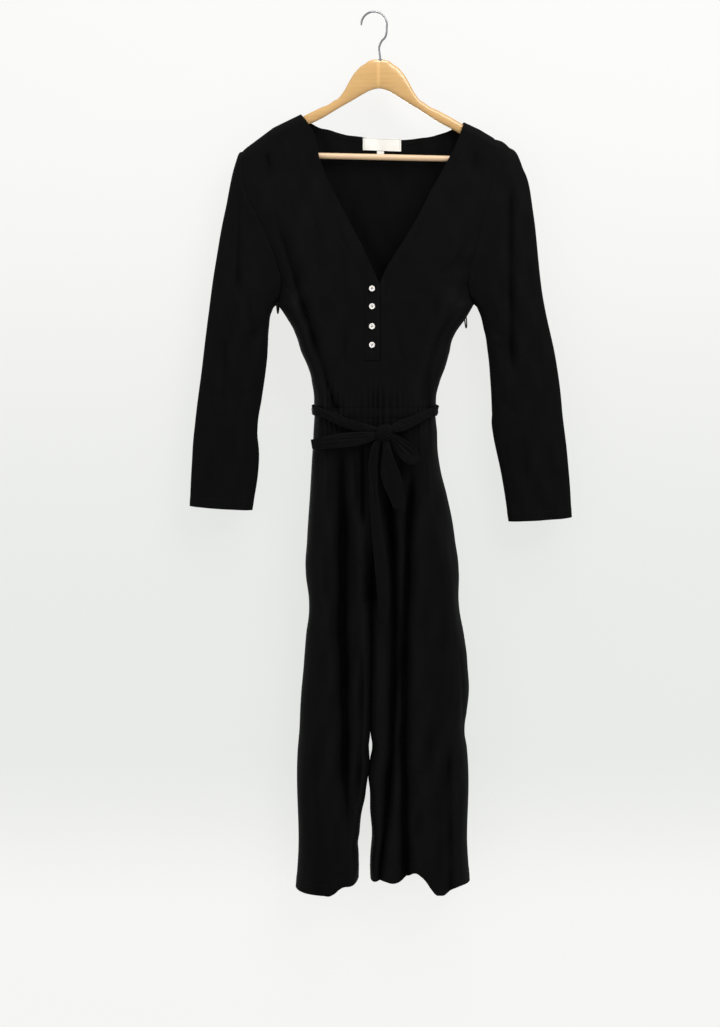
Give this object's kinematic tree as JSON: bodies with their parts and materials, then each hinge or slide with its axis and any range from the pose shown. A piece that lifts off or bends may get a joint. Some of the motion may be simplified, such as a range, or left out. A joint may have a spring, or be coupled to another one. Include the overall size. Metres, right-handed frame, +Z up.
{
  "type": "jumpsuit on a wooden hanger",
  "caption": "Long-sleeved V-neck jumpsuit in matte black crepe with a buttoned placket, gathered tie waist and straight legs, hanging on a wooden hanger with a trouser bar.",
  "frame": {"origin": "inside top of the hanger's hook, where the hook rests on a rail or peg", "axes": "+Z up, +X to the right of someone facing the front, the front faces -Y"},
  "size_m": [0.603, 0.1028, 1.3868],
  "materials": {
    "black_crepe": "matte, fine crepe grain",
    "pearl_button": "pearly gloss",
    "white_label": "woven satin, blank",
    "hanger_wood": "clear gloss varnish",
    "bar_wood": "satin",
    "hook_steel": "bright plated wire"
  },
  "bodies": {
    "root": {"front_bodice_left": "black_crepe", "front_bodice_right": "black_crepe", "back_bodice": "black_crepe", "sleeve_left": "black_crepe", "sleeve_right": "black_crepe", "placket": "black_crepe", "waist_casing": "black_crepe", "leg_front_left": "black_crepe", "leg_front_right": "black_crepe", "leg_back_left": "black_crepe", "leg_back_right": "black_crepe", "belt_back": "black_crepe", "belt_left": "black_crepe", "belt_right": "black_crepe", "belt_knot": "black_crepe", "belt_loop_left": "black_crepe", "belt_loop_right": "black_crepe", "belt_tail_short": "black_crepe", "belt_tail_long": "black_crepe", "button_1": "pearl_button", "button_2": "pearl_button", "button_3": "pearl_button", "button_4": "pearl_button", "neck_label": "white_label", "size_tab": "white_label", "hanger_body": "hanger_wood", "hanger_bar": "bar_wood", "hanger_hook": "hook_steel"}
  },
  "joints": []
}
